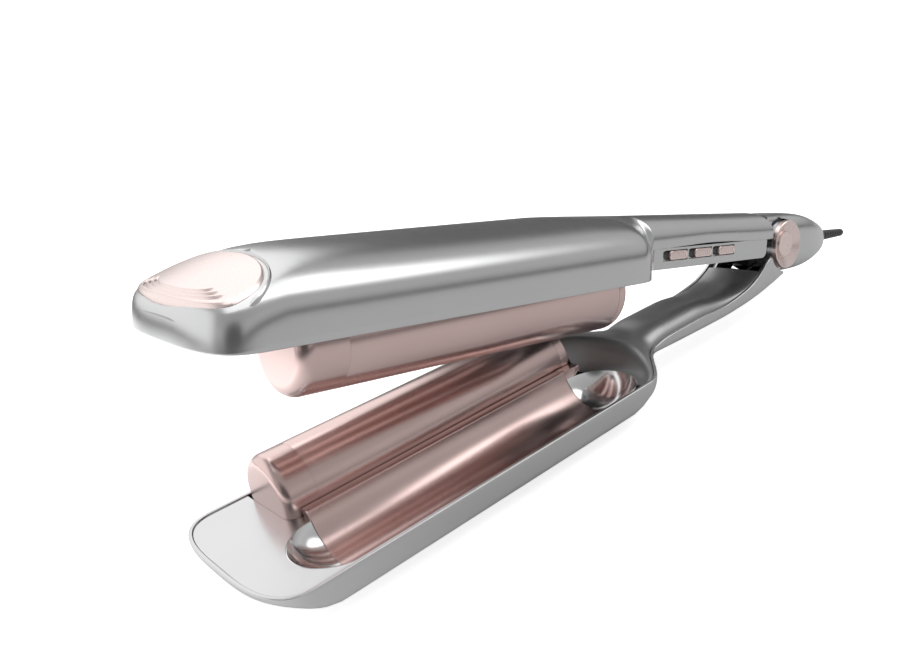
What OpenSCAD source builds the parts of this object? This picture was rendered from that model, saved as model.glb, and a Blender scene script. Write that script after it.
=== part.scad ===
// Hair waver with two hinged arms. Each arm carries an S-shaped wave plate made of a raised
// barrel beside a trough, so the barrel of one arm closes into the trough of the other.
// Arm frame used by every module: hinge axis along Y through the origin, tip toward -X,
// cord end toward +X, +Z up. The upper arm is drawn closed and then swung open.

/* [Head] */
// Hinge axis to the tip of the lower arm
arm_length = 250; // [240:1:260]
// Width of the lower head
head_width = 58; // [56:1:60]
// Extra half width of the upper head over the lower one
upper_lip = 0.6; // [0:0.1:0.8]
// Length of the rounded nose
nose_length = 13.4; // [12:0.2:15]
// Squareness of the nose outline
nose_power = 3.0; // [2.6:0.1:3.6]
// Squareness of the nose outline of the upper head
upper_nose_power = 3.4; // [2.8:0.1:3.8]
// Gap between the two rims when the arms are parallel
rim_gap = 10; // [9:0.5:11]
// Height of the upright side wall of the head
wall_height = 5.7; // [5:0.1:6.5]
// Height of the upper crown over the rim
crown_height = 19.7; // [19:0.1:20.5]
// Depth of the lower casing under its rim
tray_depth = 13.1; // [12.8:0.1:14]
// Wall thickness of the casings
shell_wall = 1.3; // [1.2:0.1:1.5]

/* [Wave plates] */
// Diameter of the raised barrels
barrel_d = 24.8; // [24.4:0.1:25.2]
// Room left round a barrel seated in the trough
seat_gap = 1.1; // [1:0.1:1.3]
// Distance of barrel and trough axes from the middle of the head
wave_offset = 14.65; // [14.5:0.05:14.8]
// Hinge axis to the front of the lower barrel
barrel_reach = 227.2; // [225:0.1:229]
// Length of the whole barrel
barrel_length = 110.8; // [108:0.1:114]
// Length of the front cap of the barrel
cap_length = 10; // [9:0.1:11]
// Edge radius of the barrel ends
cap_edge = 3.5; // [2:0.1:4.5]
// Sheet thickness of the wave plates
plate_wall = 1.2; // [1:0.1:1.3]

/* [Hinge] */
// Angle between the arms at rest
open_angle = 11.22; // [10.5:0.1:12]
// Diameter of the hinge pin
pin_d = 6; // [5.6:0.1:6.4]
// Running clearance round the hinge pin
pin_clear = 0.05; // [0.03:0.01:0.08]
// Diameter of the dished hinge discs
disc_d = 19.2; // [18.8:0.1:19.6]
// Gap between the faces that turn past each other
side_gap = 0.4; // [0.3:0.05:0.5]

/* [Handle] */
// Width of the handle
handle_width = 26; // [25.6:0.1:26.4]
// Height of the side strip that holds the buttons
strip_height = 7.2; // [7:0.1:7.4]
// Slope of the side strip
strip_tilt = 1.77; // [1.5:0.1:2]

/* [Buttons] */
// Distance from one button to the next
button_pitch = 14.9; // [14.6:0.1:15.2]
// Length of a button face
button_length = 10.4; // [10:0.1:10.8]
// Height of a button face
button_height = 3.1; // [2.8:0.1:3.3]
// Travel of a button
button_travel = 0.7; // [0.5:0.1:0.7]

/* [Cord end] */
// Hinge axis to the rear end of the housing
housing_length = 46; // [45:0.5:47]
// Diameter of the swivel collar
collar_d = 9; // [8.6:0.1:9.4]
// Length of the bend relief outside the collar
boot_length = 25; // [22:1:28]
// Diameter of the cord hole in the bend relief
cord_d = 2.4; // [2:0.1:2.6]

/* [Hidden] */
$fn = 48;

silver = [0.72, 0.73, 0.74];
rose = [0.80, 0.62, 0.60];
dark = [0.16, 0.16, 0.17];
steel = [0.62, 0.63, 0.65];

rim_low = -11.5;
rim_up = rim_low + rim_gap;
mid_z = (rim_low + rim_up) / 2;
hw_low = head_width / 2;
hw_up = hw_low + upper_lip;
hw_handle = handle_width / 2;
tip_low = -arm_length;
tip_up = -arm_length - upper_lip;
neck_from = -113.5;
neck_to = -87.5;
belly_z = rim_low - tray_depth;
deck_z = rim_low - 0.4;
deck_wall = 1.1;
groove = 0.5;

barrel_r = barrel_d / 2;
trough_r = barrel_r + seat_gap;
barrel_z = rim_low + 2.65;
trough_z = rim_low + 4.4;
land_z = trough_z - 2.2;
barrel_front = -barrel_reach;
barrel_x0 = barrel_front + cap_length;
barrel_x1 = barrel_front + barrel_length;
barrel_front_up = barrel_front - 2.5;
barrel_rear_up = barrel_x1 - 1;
rear_cap = 5;
trough_x0 = barrel_front + 3.9;
trough_x1 = barrel_x1 - 6.9;
plate_side = hw_low - shell_wall - 0.15;

disc_r = disc_d / 2;
ear_r = disc_r - 0.4;
knuckle_r = disc_r + 0.4;
pocket_r = disc_r + side_gap + 0.2;
knuckle_y = 9.2;
ear_y0 = knuckle_y + side_gap;
ear_y1 = hw_handle - shell_wall - 0.1;
disc_y0 = ear_y1 + 0.2;
disc_y1 = 13.9;
arc_r = disc_r + 1.3;

strip_z = -0.88;
strip_x0 = -86.8;
strip_x1 = -14.6;
strip_y = hw_handle - 0.3;
strip_wall = 1.8;
button_z = 0.95;
button_x = [-73.1, -73.1 + button_pitch, -73.1 + 2 * button_pitch];
button_gap = 0.3;
notch_length = 3.4;

collar_z = -1.2;
boot_r0 = 2.5;
boot_r1 = 1.7;
boot_x1 = housing_length + 2.4 + boot_length;

front_x = tip_low;
rear_x = boot_x1 * cos(open_angle) + (collar_z + boot_r1) * sin(open_angle);
shift = [-(front_x + rear_x) / 2, 0, -belly_z];

// ---------- placing ----------

module on_lower() {
  translate(shift) children();
}

module on_upper() {
  translate(shift) rotate([0, open_angle, 0]) children();
}

// turns a lower-arm shape over so that it faces down from the upper arm
module flipped() {
  translate([0, 0, mid_z]) rotate([180, 0, 0]) translate([0, 0, -mid_z]) children();
}

module on_strip() {
  translate([0, 0, strip_z]) rotate([0, strip_tilt, 0]) children();
}

module rod_x(x0, x1, r) {
  translate([x0, 0, 0]) rotate([0, 90, 0]) cylinder(h = x1 - x0, r = r);
}

module rod_y(y0, y1, r) {
  translate([0, y1, 0]) rotate([90, 0, 0]) cylinder(h = y1 - y0, r = r);
}

module box(x0, x1, y0, y1, z0, z1) {
  translate([x0, y0, z0]) cube([x1 - x0, y1 - y0, z1 - z0]);
}

// ---------- outline and height formulas ----------

function step3(u) = let (v = max(0, min(1, u))) v * v * (3 - 2 * v);
function dome(u, p) = pow(1 - pow(1 - max(0, min(1, u)), p), 1 / p);
function softmin(a, b, q) = a <= 0 ? 0 : pow(pow(a, -q) + pow(b, -q), -1 / q);

// half width of a head and its handle at station x
function half_w(x, w) = w + (hw_handle - w) * step3((x - neck_from) / (neck_to - neck_from));

function nose_pts(tip, w, n) = [
  for (i = [0:11]) let (t = 90 * i / 11)
    [tip + nose_length * (1 - pow(cos(t), 2 / n)), w * pow(sin(t), 2 / n)]
];
function neck_pts(w, x_end) = [for (k = [0:4]) let (x = neck_from + (x_end - neck_from) * k / 4)
  [x, half_w(x, w)]];
function body_pts(w, xs) = [for (x = xs) [x, half_w(x, w)]];
function steps(a, b, n) = [for (i = [1:n]) a + (b - a) * i / n];

// height over the rim of the top skin at station x, before the crown is applied
function nose_ramp(x, y) = 10.2 + 0.40 * (x + arm_length) - 0.0035 * y * y;
function nose_wall(x) = wall_height * (0.2 + 0.8 * step3((x + arm_length - 1.5) / 17));

// ---------- casing shells ----------
// A casing is one closed surface: an outer skin and an inner skin, each made of rings that
// step from the rim toward the middle line, joined round the rim and across the rear end.

cover_u = [0, 0, 0.03, 0.10, 0.20, 0.34, 0.52, 0.72, 0.92];
tray_u = [0, 0, 0.018, 0.042, 0.072, 0.22, 0.40, 0.62, 0.92];
ring_n = len(cover_u);

function mirrored(pts) = concat(
  [for (i = [len(pts) - 1:-1:1]) [pts[i][0], -pts[i][1]]], pts
);

module shell(outer, inner, down = false) {
  n = len(outer[0]);
  m = (n - 1) / 2;
  pts = [for (k = [0:ring_n - 1]) for (i = [0:n - 1]) outer[k][i]];
  pts_in = [for (k = [0:ring_n - 1]) for (i = [0:n - 1]) inner[k][i]];
  b = ring_n * n;
  last = (ring_n - 1) * n;
  skin = [for (k = [0:ring_n - 2]) for (i = [0:n - 2])
    let (a = k * n + i) each [[a, a + 1, a + n + 1], [a, a + n + 1, a + n]]];
  top = [for (j = [0:m - 1]) let (a = last + m - j, c = last + m + j)
    each (j == 0 ? [[a, a + 1, a - 1]] : [[a, c, c + 1], [a, c + 1, a - 1]])];
  rim = [for (i = [0:n - 2]) each [[i + 1, i, b + i], [i + 1, b + i, b + i + 1]]];
  cap = [for (k = [0:ring_n - 2]) let (a = k * n, c = a + n - 1) each [
    [a, a + n, b + a + n], [a, b + a + n, b + a],
    [c + n, c, b + c], [c + n, b + c, b + c + n]]];
  lid = let (a = last, c = last + n - 1) [[a, c, b + c], [a, b + c, b + a]];
  turn = function (f, o) [for (t = f) [t[0] + o, t[2] + o, t[1] + o]];
  faces = concat(skin, top, rim, cap, lid, turn(skin, b), turn(top, b));
  polyhedron(concat(pts, pts_in), down ? turn(faces, 0) : faces, convexity = 6);
}

// rings of one skin at inset t; us holds how far each ring lies from the outline (0) to the
// middle line (1), and fz gives the height at (k, x, y, u, px, t, s, d)
function rings(pts, us, spine0, spine1, t, fz) = [
  for (k = [0:ring_n - 1]) [
    for (p = mirrored(pts)) let (
      sx = max(spine0, min(spine1, p[0])),
      d = max(1, norm([p[0] - sx, p[1]])),
      s0 = t / d,
      s = s0 + (1 - s0) * us[k],
      x = p[0] + (sx - p[0]) * s,
      y = p[1] * (1 - s)
    ) [x, y, fz(k, x, y, us[k], p[0], t, s, d)]
  ]
];

upper_xs = concat([-228, -219, -205, -180, -145, neck_from], steps(neck_from, neck_to, 9),
  [-78, -64, -46, -28, -17, -10.4]);
lower_xs = concat([-228, -219, -205, -180, -145, -122, -117, neck_from], steps(neck_from, neck_to, 9),
  [-78, -64, -46, -30, -20, -15, -12.1, -10.6, -9.8, -8.4, -6.4, -3.4]);

function cover_rim(x) = x < -90 ? rim_up
  : lookup(x, [[-90, rim_up], [-87.5, 5.1], [-60, 5.1], [-10, 2.9]]);
function cover_top(x) = rim_up + crown_height - 0.047 * max(0, x + 125);
function cover_wall(x) = x < neck_from ? nose_wall(x)
  : wall_height + (2.2 - wall_height) * step3((x - neck_from) / (neck_to - neck_from));
function cover_power(x) = 2.5 - 0.3 * step3((x + 110) / 25);

upper_z = function (k, x, y, u, px, t, s, d)
  let (r = cover_rim(px), w = cover_wall(px), h = cover_top(x) - r - w - t)
    k == 0 ? r
    : r + w - t * 0.3 + softmin(h * dome(u, cover_power(px)), nose_ramp(x, y) - w - t, 9);

function neck_rim(x) = x > -10.7 ? -sqrt(arc_r * arc_r - x * x)
  : lookup(x, [[-92, rim_low], [-80, -10.2], [-62, -10.3], [-45, -11.1], [-30, -9.8],
    [-20, -6.7], [-12.1, -2.3]]);
function neck_wall(x) = rim_low + lookup(x, [[-122, -wall_height], [-117, -4.8], [-113, -3.1],
  [-109, -1.8], [-103, -0.9], [-98, -0.6], [-88, -0.7], [-80, -1.1], [-66, -1.7], [-52, -2.2],
  [-44, -2.4], [-33, -2.2], [-22, -1.6], [-15.6, -1], [-9.4, -0.5], [-3.4, 0.3]]);
function tray_wall(x) = x < -122 ? rim_low - nose_wall(x) : neck_wall(x);
// drop of the rounded lower edge, and of the sloped underside
function tray_edge(x) = x < -200 ? 2 * (0.3 + 0.7 * step3((x + arm_length) / 14))
  : lookup(x, [[neck_from, 2], [neck_to, 1.5], [-20, 1.5], [-3.4, 0.7]]);
function tray_slope(x) = lookup(x, [[neck_from, 6.4], [neck_to, 2.6], [-30, 2.4], [-3.4, 0.8]]);
function tray_drop(px, s, d) = let (q = 1 - min(1, s * max(hw_handle, min(d, hw_low)) / 2))
  tray_edge(px) * sqrt(1 - q * q) + tray_slope(px) * (1 - pow(1 - s, 1.9));

lower_z = function (k, x, y, u, px, t, s, d)
  k == 0 ? neck_rim(px)
    : max(belly_z + t, min(neck_rim(px) - (t > 0 ? 0.55 : 0.2),
      tray_wall(px) - tray_drop(px, s, d) + t));

module lower_casing() {
  pts = concat(nose_pts(tip_low, hw_low, nose_power), body_pts(hw_low, lower_xs));
  color(silver) on_lower() shell(
    rings(pts, tray_u, tip_low + 24, -3.4, 0, lower_z),
    rings(pts, tray_u, tip_low + 24, -3.4, shell_wall, lower_z), true);
}

module upper_casing() {
  pts = concat(nose_pts(tip_up, hw_up, upper_nose_power), body_pts(hw_up, upper_xs));
  color(silver) on_upper() shell(
    rings(pts, cover_u, tip_up + 24, -10.4, 0, upper_z),
    rings(pts, cover_u, tip_up + 24, -10.4, shell_wall, upper_z));
}

// ---------- decks ----------

module deck_outline(tip, w, x_end) {
  inset = shell_wall + groove;
  pts = [for (p = concat(nose_pts(tip, w, nose_power),
      x_end > neck_from ? neck_pts(w, x_end) : [[x_end, w]]))
    let (sx = max(tip + 24, p[0]), k = inset / norm([p[0] - sx, p[1]]))
      [p[0] + (sx - p[0]) * k, p[1] * (1 - k)]];
  polygon(mirrored(pts));
}

// front and rear are the ends of the barrel that stands in the deck
module deck(tip, w, x_end, front, rear) {
  difference() {
    translate([0, 0, deck_z - deck_wall]) linear_extrude(deck_wall) deck_outline(tip, w, x_end);
    translate([front + cap_edge, wave_offset - barrel_r + cap_edge, -40]) linear_extrude(40)
      offset(r = cap_edge + 0.3) square([cap_edge, barrel_d - 2 * cap_edge]);
    box(front + cap_edge - 0.8, rear + 0.3, wave_offset - barrel_r - 0.35, hw_low + 1, -40, 0);
    box(trough_x0, trough_x1, -hw_low - 1, wave_offset, -40, 0);
    translate([tip + 1, 0, deck_z - 0.15]) rotate([0, 8, 0]) box(-10, 30, -40, 40, -10, 0);
    translate([0, -wave_offset, trough_z]) {
      translate([trough_x0, 0, 0]) sphere(r = trough_r + plate_wall + 0.2);
      translate([trough_x1, 0, 0]) sphere(r = trough_r + plate_wall + 0.2);
    }
  }
}

module lower_deck() {
  color(silver) on_lower() deck(tip_low, hw_low, trough_x1 - 5, barrel_front, barrel_x1);
}

module upper_deck() {
  color(silver) on_upper() flipped()
    deck(tip_up, hw_low, neck_from + 6.5, barrel_front_up, barrel_rear_up);
}

// ---------- mound behind the lower barrel and cover of the neck ----------

fair_xs = concat([barrel_x1], steps(barrel_x1, -84, 13), steps(-84, -18.5, 8));
fair_n = 26;
function fair_w(x) = half_w(x, hw_low) - shell_wall - groove;
function fair_rim(x) = neck_rim(x) - 0.4;
function fair_crest(x) = let (s = step3((x - barrel_x1) / 30))
  (1 - s) * 10.6 + s * 4.8 * (1 - 0.9 * step3((x + 60) / 40));
function fair_mid(x) = 9 * (1 - step3((x - barrel_x1) / 34));
function fair_dip(x, y) = step3((norm([x - trough_x1, y + wave_offset]) - trough_r - 0.2) / 11);
function fair_z(x, v) = let (
    w = fair_w(x), y = v * w, c = fair_mid(x),
    side = y > c ? (y - c) / (w - c) : (c - y) / (w + c),
    power = 2.2 + 0.6 * step3((x - barrel_x1) / 30)
  ) fair_rim(x) + fair_crest(x) * fair_dip(x, y) * pow(max(0, 1 - pow(side, power)), 1 / 1.5);

module fairing_body() {
  nx = len(fair_xs);
  ny = fair_n + 1;
  vs = [for (j = [0:fair_n]) -cos(180 * j / fair_n)];
  top = [for (x = fair_xs) for (v = vs) [x, v * fair_w(x), fair_z(x, v)]];
  low = [for (x = fair_xs) for (v = vs) [x, v * fair_w(x), fair_z(x, v) - deck_wall]];
  b = nx * ny;
  quads = [for (i = [0:nx - 2]) for (j = [0:ny - 2]) let (a = i * ny + j)
    each [[a, a + 1, a + ny + 1], [a, a + ny + 1, a + ny]]];
  under = [for (q = quads) [q[0] + b, q[2] + b, q[1] + b]];
  ends = [for (j = [0:ny - 2]) let (c = (nx - 1) * ny + j) each [
    [j + 1, j, b + j], [j + 1, b + j, b + j + 1],
    [c, c + 1, b + c + 1], [c, b + c + 1, b + c]]];
  sides = [for (i = [0:nx - 2]) let (a = i * ny, c = a + ny - 1) each [
    [a, a + ny, b + a + ny], [a, b + a + ny, b + a],
    [c + ny, c, b + c], [c + ny, b + c, b + c + ny]]];
  polyhedron(concat(top, low), concat(quads, under, ends, sides), convexity = 4);
}

module lower_fairing() {
  color(silver) on_lower() difference() {
    fairing_body();
    translate([trough_x1, -wave_offset, trough_z]) sphere(r = trough_r + plate_wall + 0.2);
  }
}

// ---------- wave plates ----------

module wave_plate(x0, x1, end_wall) {
  difference() {
    union() {
      difference() {
        box(trough_x1 - 1, end_wall > 0 ? x1 : trough_x1, -2, wave_offset - 8, land_z - 4, land_z);
        translate([trough_x1, -wave_offset, trough_z]) sphere(r = trough_r + plate_wall + 0.2);
      }
      translate([0, wave_offset, barrel_z]) rod_x(x0, x1, barrel_r);
      translate([0, -wave_offset, trough_z]) rod_x(trough_x0, trough_x1, trough_r + plate_wall);
      box(trough_x0, trough_x1, -wave_offset + 4, wave_offset - 8, land_z - 5, land_z);
    }
    translate([0, wave_offset, barrel_z]) rod_x(x0 - 1, x1 - end_wall, barrel_r - plate_wall);
    translate([0, wave_offset, barrel_z]) rod_x(trough_x0 - 1, x0, barrel_r + 0.1);
    translate([0, -wave_offset, trough_z]) rod_x(trough_x0 - 1, trough_x1 + 1, trough_r);
    box(trough_x0 - 1, trough_x1 + 1, -wave_offset - 30, -wave_offset, deck_z, 30);
    box(trough_x0 - 1, trough_x1 + 1, -wave_offset - 30, -plate_side, -40, 30);
    box(trough_x0 - 1, x1 + 1, -wave_offset - 1, wave_offset - barrel_r, land_z, 30);
    box(trough_x0 - 1, x1 + 1, wave_offset - barrel_r - 0.1, 40, -40, deck_z - 3);
  }
}

module lower_plate() {
  color(rose) on_lower() wave_plate(barrel_x0, barrel_x1, plate_wall);
}

module upper_plate() {
  color(rose) on_upper() flipped() wave_plate(barrel_x0, barrel_rear_up - rear_cap, -1);
}

// rounded end of a barrel, open toward the plate
module barrel_end(length, edge) {
  difference() {
    rotate([0, -90, 0]) rotate_extrude($fn = 64) difference() {
      union() {
        square([barrel_r, length - edge]);
        square([barrel_r - edge, length]);
        translate([barrel_r - edge, length - edge]) circle(r = edge);
      }
      translate([-2 * barrel_r, -barrel_r]) square([2 * barrel_r, length + 2 * barrel_r]);
      translate([-1, -2 * barrel_r]) square([2 * barrel_r, 2 * barrel_r]);
      translate([0, -1]) square([barrel_r - plate_wall, length - edge + 1]);
    }
    translate([-30, -30, -60]) cube([60, 60, 60 + deck_z - 3 - barrel_z]);
  }
}

module lower_front_cap() {
  color(rose) on_lower() translate([barrel_x0, wave_offset, barrel_z])
    barrel_end(cap_length, cap_edge);
}

module upper_end_caps() {
  color(rose) on_upper() flipped() {
    translate([barrel_x0, wave_offset, barrel_z])
      barrel_end(barrel_x0 - barrel_front_up, cap_edge);
    translate([barrel_rear_up - rear_cap, wave_offset, barrel_z]) mirror([1, 0, 0])
      barrel_end(rear_cap, cap_edge);
  }
}

// quarter-sphere hollow that closes an end of the trough
module scoop(cut) {
  difference() {
    sphere(r = trough_r + plate_wall, $fn = 64);
    sphere(r = trough_r, $fn = 64);
    translate([-40, -40, deck_z - trough_z]) cube(80);
    translate([cut > 0 ? 0 : -40, -40, -40]) cube([40, 80, 80]);
    translate([-40, -40, -40]) cube([80, 40 + wave_offset - plate_side, 80]);
  }
}

module lower_scoops() {
  color(silver) on_lower() translate([0, -wave_offset, trough_z]) {
    translate([trough_x0 - 0.1, 0, 0]) scoop(1);
    translate([trough_x1 + 0.1, 0, 0]) scoop(-1);
  }
}

// ---------- inside the heads ----------

carrier_x0 = trough_x0 + 1.5;
carrier_x1 = trough_x1 + 3;
screw_x = [carrier_x0 + 8, carrier_x1 - 10];
carrier_z = rim_low - wall_height + 0.4;

module carrier() {
  difference() {
    union() {
      box(carrier_x0, carrier_x1, -1, wave_offset + 7.4, carrier_z - 1.6, carrier_z);
      for (x = screw_x) translate([x, wave_offset, carrier_z - 0.1]) cylinder(h = 5.4, r = 4);
    }
    for (x = screw_x) translate([x, wave_offset, -40]) cylinder(h = 40, r = 1.6);
  }
}

module lower_carrier() {
  color(dark) on_lower() carrier();
}

module upper_carrier() {
  color(dark) on_upper() flipped() carrier();
}

module heater_bars() {
  x0 = screw_x[0] + 8;
  x1 = screw_x[1] - 8;
  box(x0, x1, wave_offset - 7, wave_offset + 7, barrel_z + 1, barrel_z + 4.4);
  box(x0, x1, wave_offset - 5, wave_offset + 5, barrel_z - 4, barrel_z - 1);
}

module lower_heaters() {
  color([0.85, 0.8, 0.7]) on_lower() heater_bars();
}

module upper_heaters() {
  color([0.85, 0.8, 0.7]) on_upper() flipped() heater_bars();
}

module thermal_fuse() {
  color(steel) on_lower() translate([0, wave_offset + 2, barrel_z + 6.6])
    rod_x(carrier_x0 + 36, carrier_x0 + 48, 1.8);
}

module screw(length) {
  cylinder(h = 1.8, r = 2.7);
  translate([0, 0, 1.8]) cylinder(h = length, r = 1.45);
}

module screws_lower() {
  color(steel) on_lower() for (x = screw_x)
    translate([x, wave_offset, carrier_z - 3.5]) screw(6);
}

// ---------- hinge ----------

module hinge_fork() {
  color(steel) on_lower() difference() {
    union() {
      for (s = [-1, 1]) scale([1, s, 1]) {
        rod_y(ear_y0, ear_y1, ear_r);
        translate([0, ear_y1, 0]) rotate([90, 0, 0]) linear_extrude(ear_y1 - ear_y0)
          polygon([[-26, -13.2], [-26, -12], [-20, -9.6], [-9, -1.4], [-2, -2], [-2, -8.9],
            [-5, -10.4], [-12, -12], [-18, -13.2]]);
      }
      box(-26, -18, -ear_y1, ear_y1, -13.2, -12);
      box(-62, -18, -7, 7, -13.2, -12);
    }
    rod_y(-20, 20, pin_d / 2);
    for (x = [-56, -34]) translate([x, 0, -20]) cylinder(h = 20, r = 1.6);
  }
}

module hinge_pin() {
  color(steel) on_lower() rod_y(-ear_y1 - 0.1, ear_y1 + 0.1, pin_d / 2);
}

module hinge_disc() {
  rotate([-90, 0, 0]) difference() {
    translate([0, 0, disc_y0]) cylinder(h = disc_y1 - disc_y0, r = disc_r, $fn = 96);
    translate([0, 0, disc_y1 - 1.7])
      cylinder(h = 1.8, r1 = disc_r * 0.53, r2 = disc_r - 0.55, $fn = 96);
    translate([0, 0, disc_y1 - 1.7]) cylinder(h = 2, r = disc_r * 0.53, $fn = 64);
  }
}

module hinge_discs() {
  color(rose) on_lower() {
    hinge_disc();
    mirror([0, 1, 0]) hinge_disc();
  }
}

module return_spring() {
  color(steel) on_lower() {
    for (i = [0:4]) translate([0, -3.2 + i * 1.6, 0]) rotate([90, 0, 0])
      rotate_extrude($fn = 40) translate([5, 0]) circle(r = 0.62, $fn = 16);
    box(-0.42, 0.42, -3.2, 3.2, -5.3, -4.7);
    translate([-0.1, -3.2, -5]) rotate([0, -100, 0]) cylinder(h = 14, r = 0.5);
  }
}

// ---------- upper frame and handle ----------

module upper_frame() {
  color(dark) on_upper() difference() {
    union() {
      rod_y(-knuckle_y, knuckle_y, knuckle_r);
      box(-104, -9.3, -7.6, 7.6, 5.8, 8.2);
      box(-13.6, -9.3, -knuckle_y + 0.3, knuckle_y - 0.3, -1.2, 8.2);
      box(-9.4, -4, -knuckle_y + 0.3, knuckle_y - 0.3, -1.2, 3.7);
    }
    rod_y(-20, 20, pin_d / 2 + pin_clear);
    rod_y(-4.6, 4.6, 6.2);
    box(-16, -1, -4.4, 4.4, -12, -3.6);
    for (x = [-80, -24]) translate([x, 0, 0]) cylinder(h = 20, r = 1.5);
  }
}

module strip_profile() {
  h = strip_height / 2;
  r = 3;
  difference() {
    union() {
      translate([strip_x0, -h]) square([strip_x1 - strip_x0 - r, 2 * h]);
      translate([strip_x0, -h + r]) square([strip_x1 - strip_x0, 2 * h - r]);
      translate([strip_x1 - r, -h + r]) circle(r = r, $fn = 40);
    }
  }
}

module handle_base() {
  h = strip_height / 2;
  color(silver) on_upper() on_strip() {
    difference() {
      translate([0, strip_y, 0]) rotate([90, 0, 0]) linear_extrude(2 * strip_y)
        strip_profile();
      box(strip_x0 - 1, strip_x1 - 2, -strip_y + strip_wall, strip_y - strip_wall,
        -h + strip_wall, h + 1);
      for (x = button_x) {
        box(x - button_length / 2 - button_gap, x + button_length / 2 + button_gap,
          -strip_y - 1, 0, button_z - button_height / 2 - button_gap,
          button_z + button_height / 2 + button_gap);
        box(x - button_length / 2 - notch_length, x, -strip_y - 1, -strip_y + 1.1,
          button_z - button_height / 2 - button_gap,
          button_z + button_height / 2 + button_gap);
      }
      box(strip_x1 - 3, strip_x1 + 1, -knuckle_y - 0.2, knuckle_y + 0.2, -h + 1.2, h + 1);
      for (x = [-80, -24]) translate([x, 0, -10]) cylinder(h = 10, r = 3);
    }
    for (x = [-80, -24]) translate([x, 0, -h + 1]) difference() {
      cylinder(h = 3.2, r = 4.2);
      translate([0, 0, -1]) cylinder(h = 9, r = 1.6);
      translate([0, 0, -1]) cylinder(h = 1.9, r = 3);
    }
  }
}

module button(i) {
  on_upper() on_strip() translate([button_x[i], 0, button_z]) {
    l = button_length / 2;
    h = button_height / 2;
    box(-l, l, -strip_y - 0.5, -strip_y + strip_wall + 0.5, -h, h);
    box(-l - 0.8, l + 0.8, -strip_y + strip_wall + 0.3, -strip_y + strip_wall + 1.1,
      -h - 0.7, h + 0.7);
    for (x = [-4.2:1.2:4.2]) translate([x, -strip_y - 0.5, 0])
      box(-0.25, 0.25, -0.2, 0.2, -h + 0.5, h - 0.5);
  }
}

module button_1() {
  color(rose) button(0);
}

module button_2() {
  color(rose) button(1);
}

module button_3() {
  color(rose) button(2);
}

switch_y = -strip_y + strip_wall + 1.1 + button_travel + 0.35;

module circuit_board() {
  color([0.1, 0.35, 0.2]) on_upper() on_strip()
    box(-84, -34, switch_y + 0.8, switch_y + 2.2, -1.4, 3.6);
}

module switches() {
  color(dark) on_upper() on_strip() for (x = button_x) translate([x, 0, button_z]) {
    box(-2.6, 2.6, switch_y + 0.2, switch_y + 0.8, -1.8, 1.8);
    translate([0, switch_y + 0.2, 0]) rotate([90, 0, 0]) cylinder(h = 0.2, r = 1);
  }
}

module screws_upper() {
  color(steel) on_upper() on_strip() for (x = [-80, -24])
    translate([x, 0, -strip_height / 2 - 0.1]) screw(6);
}

// ---------- thumb pad ----------

pad_xc = tip_up + 8.6;
pad_front = 7.7;
pad_rear = 11.8;
pad_b = hw_up - 3.6;
pad_power = 2.35;

function crown_z(x, y) = let (w = half_w(x, hw_up))
  upper_z(4, x, y, 1 - abs(y) / w, x, 0);

module thumb_pad() {
  nr = 8;
  na = 56;
  pts = [for (k = [0:nr]) for (j = [0:na - 1]) let (
      a = 360 * j / na, r = 0.15 + 0.85 * k / nr, q = 2 / pad_power,
      x = pad_xc + (cos(a) > 0 ? pad_rear : pad_front) * r * sgn_pow(cos(a), q),
      y = pad_b * r * sgn_pow(sin(a), q)
    ) [x, y, nose_skin(x, y) + 0.66]];
  n = (nr + 1) * na;
  low = [for (p = pts) [p[0], p[1], p[2] - 0.58]];
  top = [for (k = [0:nr - 1]) for (j = [0:na - 1]) let (
      a = k * na + j, b = k * na + (j + 1) % na)
    each [[a, b, b + na], [a, b + na, a + na]]];
  lid = [for (j = [1:na - 2]) [0, j + 1, j]];
  side = [for (j = [0:na - 1]) let (a = nr * na + j, b = nr * na + (j + 1) % na)
    each [[a, n + b, n + a], [a, b, n + b]]];
  turn = function (f) [for (t = f) [t[0] + n, t[2] + n, t[1] + n]];
  color(rose) on_upper()
    polyhedron(concat(pts, low), concat(top, lid, side, turn(top), turn(lid)), convexity = 4);
}

// height of the top skin over a point of the nose
function nose_skin(x, y) = let (
    sx = tip_up + 24,
    w = nose_wall(x),
    xx = max(tip_up + 0.5, x),
    u = x >= sx ? 1 - abs(y) / hw_up : nose_u(xx, abs(y), sx, 0, 1, 12),
    h = cover_top(x) - rim_up - w
  ) rim_up + w + softmin(h * dome(u, 2.5), nose_ramp(x, y) - w, 9);
// fraction of the way from the nose outline to the spine point, found by halving
function nose_u(x, y, sx, a, b, n) = n == 0 ? (a + b) / 2 : let (
    m = (a + b) / 2, px = sx + (x - sx) / (1 - m), py = y / (1 - m),
    out = px < tip_up ? true : px < tip_up + nose_length ?
      pow((tip_up + nose_length - px) / nose_length, upper_nose_power)
        + pow(py / hw_up, upper_nose_power) > 1 : py > hw_up
  ) out ? nose_u(x, y, sx, a, m, n - 1) : nose_u(x, y, sx, m, b, n - 1);

// ---------- cord end ----------

house_x = concat([-9, -4, 2],
  [for (b = [38, 32, 27, 22, 17, 13, 9, 6, 3.5, 1.5, 0]) housing_length - b]);
socket_x0 = housing_length - 15.8;
socket_x1 = housing_length - 9.6;
house_n = 40;
function house_f(x) = x < 10 ? 1
  : pow(1 - pow((x - 10) / (housing_length + 2 - 10), 2.2), 1 / 2.2);
function house_pow(x) = 3.6 - 1.3 * step3((x - 8) / 30);
function house_zc(x) = -0.2 + (collar_z + 0.2) * step3((x - 5) / 40);
function house_top(x) = 12.1 - 0.02 * x;
function sgn_pow(v, p) = (v < 0 ? -1 : 1) * pow(abs(v), p);

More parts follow.
